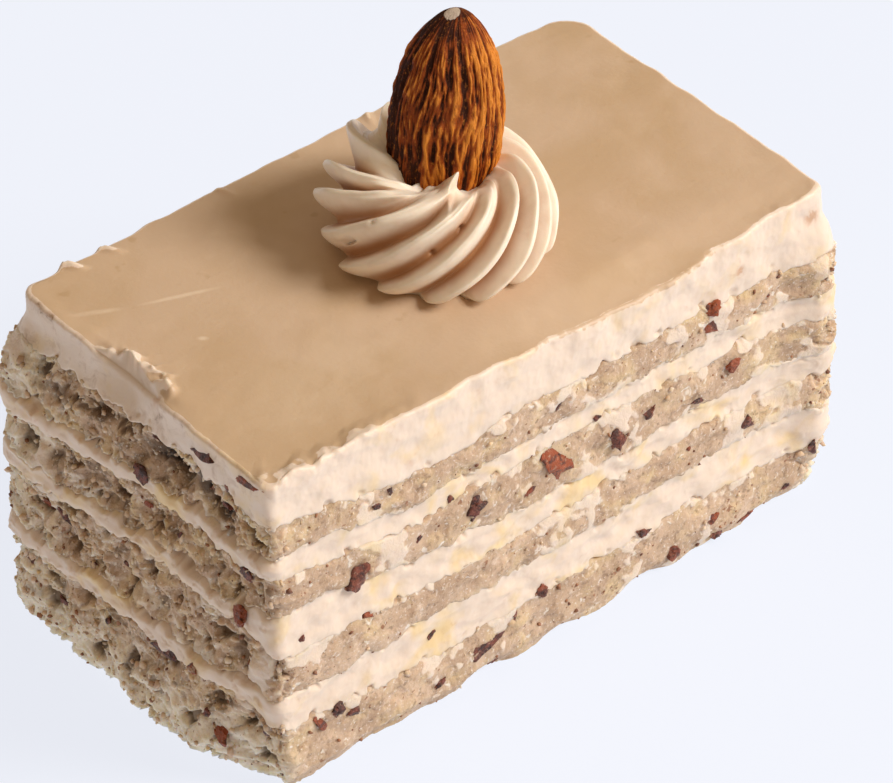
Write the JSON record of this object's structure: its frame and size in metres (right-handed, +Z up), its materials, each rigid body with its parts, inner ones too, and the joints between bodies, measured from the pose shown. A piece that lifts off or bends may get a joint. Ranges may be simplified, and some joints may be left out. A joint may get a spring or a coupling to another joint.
{
  "type": "cream pastry",
  "caption": "Cut block of nut sponge layered with coffee cream, thick coffee icing, a piped cream rosette and an upright almond.",
  "frame": {"origin": "on the table under the middle of the pastry's box", "axes": "+X along the long cut side, -Y out of the shown long cut side, -X out of the shown short cut side, +Z up"},
  "size_m": [0.0864, 0.048, 0.0708],
  "materials": {
    "nut_sponge": "matte open crumb with chopped nuts",
    "coffee_filling": "soft matte cream",
    "coffee_icing": "smooth satin cream",
    "piped_cream": "smooth satin cream",
    "almond_skin": "dry wrinkled skin"
  },
  "bodies": {
    "root": {"sponge_1": "nut_sponge", "filling_1": "coffee_filling", "sponge_2": "nut_sponge", "filling_2": "coffee_filling", "sponge_3": "nut_sponge", "filling_3": "coffee_filling", "sponge_4": "nut_sponge", "icing": "coffee_icing", "rosette": "piped_cream", "almond": "almond_skin"}
  },
  "joints": []
}
